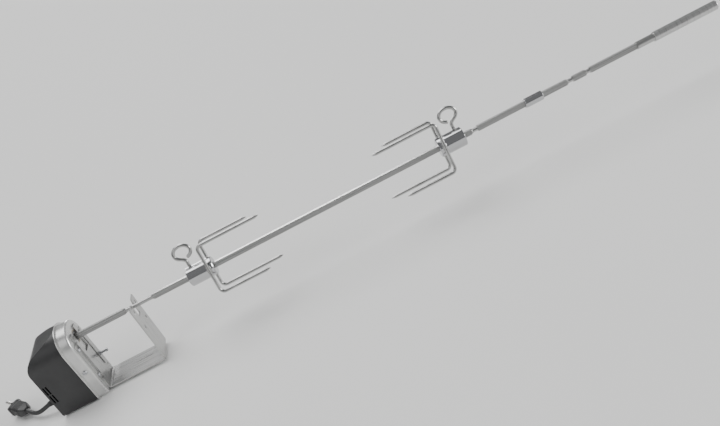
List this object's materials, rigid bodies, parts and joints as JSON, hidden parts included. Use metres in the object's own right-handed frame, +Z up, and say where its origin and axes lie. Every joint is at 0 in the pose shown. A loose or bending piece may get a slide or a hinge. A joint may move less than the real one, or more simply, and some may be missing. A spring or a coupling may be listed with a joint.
{
  "type": "grill rotisserie spit kit",
  "caption": "Grill rotisserie kit: gear motor on a U bracket turns a long square spit rod with meat forks held by eye screws, a bearing ring and a tube handle.",
  "frame": {"origin": "centre of the rectangular bolt pattern, on the outer face of the bracket's outer leg", "axes": "+X along the spit from the motor to the handle, +Z up"},
  "size_m": [1.2305, 0.0938, 0.1436],
  "materials": {
    "stainless": "brushed stainless strap",
    "black_plastic": "moulded, fine texture",
    "silver_steel": "satin silver pressing",
    "zinc": "zinc plated",
    "socket_steel": "sintered steel",
    "gear_plastic": "acetal",
    "bronze": "plain",
    "ferrite": "ferrite magnet",
    "copper": "enamelled wire",
    "black_rubber": "moulded flexible vinyl",
    "spit_steel": "nickel plated bar",
    "chrome": "polished chrome",
    "satin_tube": "satin tube",
    "plated_wire": "nickel plated wire"
  },
  "bodies": {
    "bracket": {"bracket": "stainless"},
    "motor": {"motor_housing": "black_plastic", "motor_cover": "silver_steel", "cover_screws": "zinc", "guide_rails": "stainless", "rail_screws": "zinc", "lock_nut": "zinc", "output_bearing": "bronze", "gear_shafts": "zinc", "motor_can": "zinc", "motor_coil": "copper", "rear_gear_plate": "zinc", "front_gear_plate": "zinc", "gear_spacers": "zinc", "plate_screws": "zinc", "strain_relief": "black_rubber", "terminal_block": "gear_plastic", "lead_wires": "copper", "power_cord": "black_rubber", "plug_body": "black_rubber", "plug_blades": "bronze", "plug_ground_pin": "bronze"},
    "lock_screw": {"lock_screw": "zinc"},
    "socket": {"drive_socket": "socket_steel", "output_gear": "gear_plastic"},
    "second_gear": {"second_cluster_gear": "gear_plastic"},
    "first_gear": {"first_cluster_gear": "gear_plastic"},
    "rotor": {"rotor": "ferrite"},
    "spit": {"spit_rod": "spit_steel", "handle_ferrule": "spit_steel", "handle_tube": "satin_tube", "handle_insert": "zinc", "handle_cap": "satin_tube"},
    "ring": {"ring_bushing": "chrome"},
    "fork_1": {"fork_1_hub": "chrome", "fork_1_near_prongs": "plated_wire", "fork_1_far_prongs": "plated_wire"},
    "eye_1": {"fork_1_eye_screw": "plated_wire"},
    "fork_2": {"fork_2_hub": "chrome", "fork_2_near_prongs": "plated_wire", "fork_2_far_prongs": "plated_wire"},
    "eye_2": {"fork_2_eye_screw": "plated_wire"}
  },
  "joints": [
    {"name": "motor_lift", "type": "slide", "parent": "bracket", "child": "motor", "axis": [0, 0, 1], "range_m": [0, 0.085]},
    {"name": "lock_screw_turn", "type": "hinge", "parent": "motor", "child": "lock_screw", "pos_m": [-0.085, 0.016, -0.0345], "axis": [1, 0, 0], "range_deg": [0, 720]},
    {"name": "socket_turn", "type": "hinge", "parent": "motor", "child": "socket", "pos_m": [-0.1, 0, 0.0175], "axis": [1, 0, 0], "continuous": true},
    {"name": "second_gear_turn", "type": "hinge", "parent": "motor", "child": "second_gear", "pos_m": [-0.11, 0.00981, -0.00873], "axis": [1, 0, 0], "continuous": true},
    {"name": "first_gear_turn", "type": "hinge", "parent": "motor", "child": "first_gear", "pos_m": [-0.115, -0.00697, -0.02136], "axis": [1, 0, 0], "continuous": true},
    {"name": "rotor_turn", "type": "hinge", "parent": "motor", "child": "rotor", "pos_m": [-0.13, 0.00567, -0.03814], "axis": [1, 0, 0], "continuous": true},
    {"name": "spit_pull", "type": "slide", "parent": "socket", "child": "spit", "axis": [1, 0, 0], "range_m": [0, 0.12]},
    {"name": "ring_slide", "type": "slide", "parent": "spit", "child": "ring", "axis": [1, 0, 0], "range_m": [-0.075, 0.037]},
    {"name": "fork_1_slide", "type": "slide", "parent": "spit", "child": "fork_1", "axis": [1, 0, 0], "range_m": [-0.05, 0.08]},
    {"name": "fork_2_slide", "type": "slide", "parent": "spit", "child": "fork_2", "axis": [1, 0, 0], "range_m": [-0.09, 0.01]},
    {"name": "eye_1_turn", "type": "hinge", "parent": "fork_1", "child": "eye_1", "pos_m": [0.0997, 0, 0.0175], "axis": [0, 0.2588, 0.9659], "range_deg": [0, 720]},
    {"name": "eye_2_turn", "type": "hinge", "parent": "fork_2", "child": "eye_2", "pos_m": [0.531, 0, 0.0175], "axis": [0, 0.2588, 0.9659], "range_deg": [0, 720]}
  ],
  "couplings": [
    {"joint": "second_gear_turn", "follows": "socket_turn", "ratio": -4},
    {"joint": "first_gear_turn", "follows": "socket_turn", "ratio": 16},
    {"joint": "rotor_turn", "follows": "socket_turn", "ratio": -64}
  ]
}
